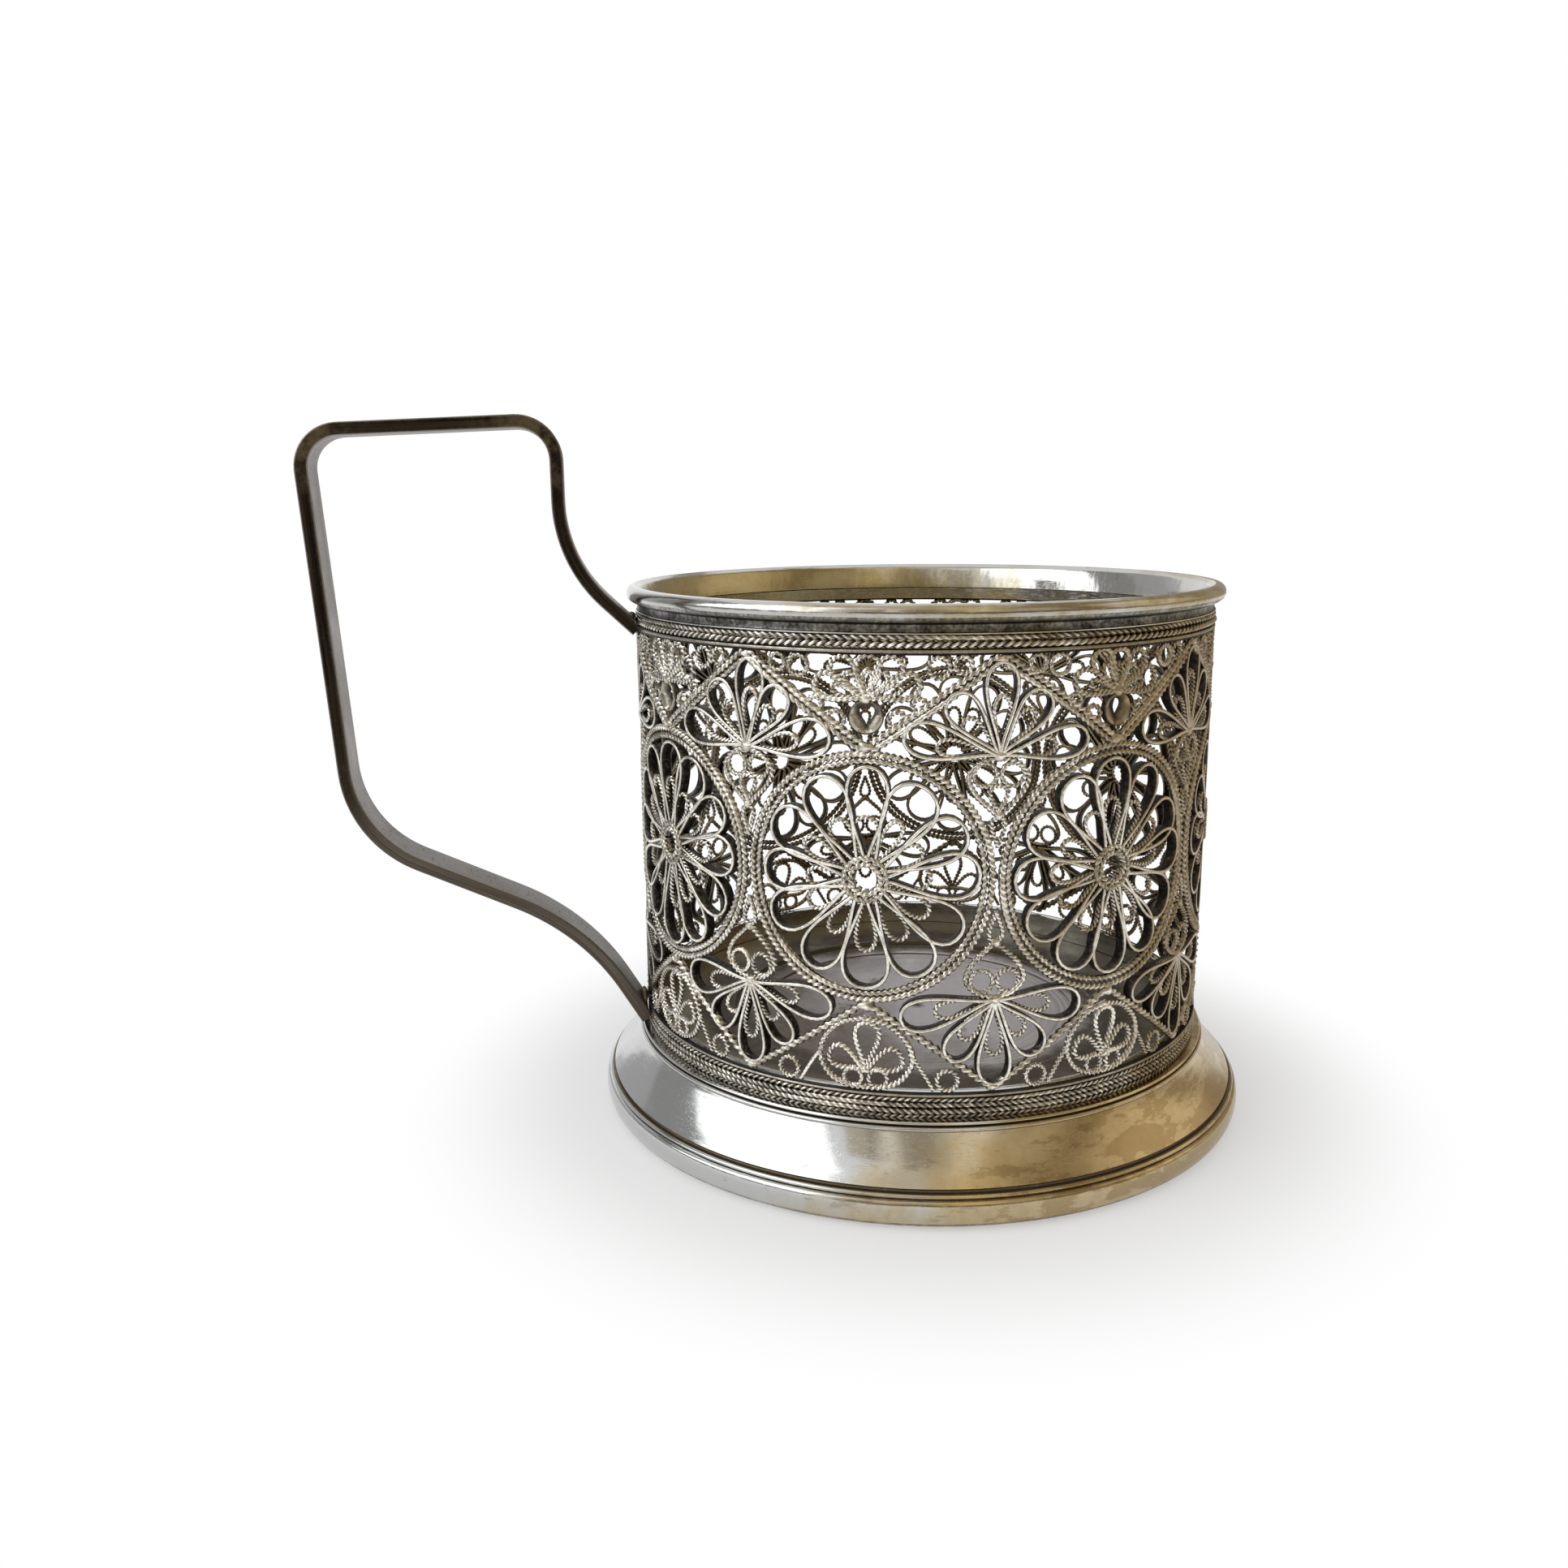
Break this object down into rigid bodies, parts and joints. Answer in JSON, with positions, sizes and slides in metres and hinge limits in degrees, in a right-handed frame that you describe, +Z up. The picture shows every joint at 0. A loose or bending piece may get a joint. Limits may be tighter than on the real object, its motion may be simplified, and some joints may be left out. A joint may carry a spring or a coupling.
{
  "type": "tea glass holder",
  "caption": "Openwork filigree holder for a tea glass, with a bent strap handle, a polished rim and a flared hollow foot.",
  "frame": {"origin": "centre of the foot's bottom ring, on the axis of the glass bore, at table level", "axes": "+Z up along the glass bore, out of its mouth; the handle lies along -X; +Y completes the frame"},
  "size_m": [0.1162, 0.0834, 0.0869],
  "materials": {
    "polished_silver": "polished, lightly yellowed",
    "filigree_silver": "satin, tarnished brown in the hollows",
    "tarnished_floor": "matte, tarnished",
    "strap_metal": "satin, oxidised dark at the edges",
    "solder": "rough, brown"
  },
  "bodies": {
    "root": {"floor_plate": "tarnished_floor", "foot": "polished_silver", "handle": "strap_metal", "lower_palmette_1": "filigree_silver", "lower_palmette_2": "filigree_silver", "lower_palmette_3": "filigree_silver", "lower_palmette_4": "filigree_silver", "lower_palmette_5": "filigree_silver", "lower_palmette_6": "filigree_silver", "lower_palmette_7": "filigree_silver", "lower_palmette_8": "filigree_silver", "lower_rope_inner": "filigree_silver", "lower_rope_outer": "filigree_silver", "lower_solder": "solder", "lower_strip": "filigree_silver", "lower_zigzag": "filigree_silver", "medallion_hoop_1": "filigree_silver", "medallion_hoop_2": "filigree_silver", "medallion_hoop_3": "filigree_silver", "medallion_hoop_4": "filigree_silver", "medallion_hoop_5": "filigree_silver", "medallion_hoop_6": "filigree_silver", "medallion_hoop_7": "filigree_silver", "medallion_hoop_8": "filigree_silver", "rim_collar": "polished_silver", "rosette_1": "filigree_silver", "rosette_2": "filigree_silver", "rosette_3": "filigree_silver", "rosette_4": "filigree_silver", "rosette_5": "filigree_silver", "rosette_6": "filigree_silver", "rosette_7": "filigree_silver", "rosette_8": "filigree_silver", "upper_palmette_1": "filigree_silver", "upper_palmette_2": "filigree_silver", "upper_palmette_3": "filigree_silver", "upper_palmette_4": "filigree_silver", "upper_palmette_5": "filigree_silver", "upper_palmette_6": "filigree_silver", "upper_palmette_7": "filigree_silver", "upper_palmette_8": "filigree_silver", "upper_rope_inner": "filigree_silver", "upper_rope_outer": "filigree_silver", "upper_solder": "solder", "upper_strip": "filigree_silver", "upper_zigzag": "filigree_silver"}
  },
  "joints": []
}
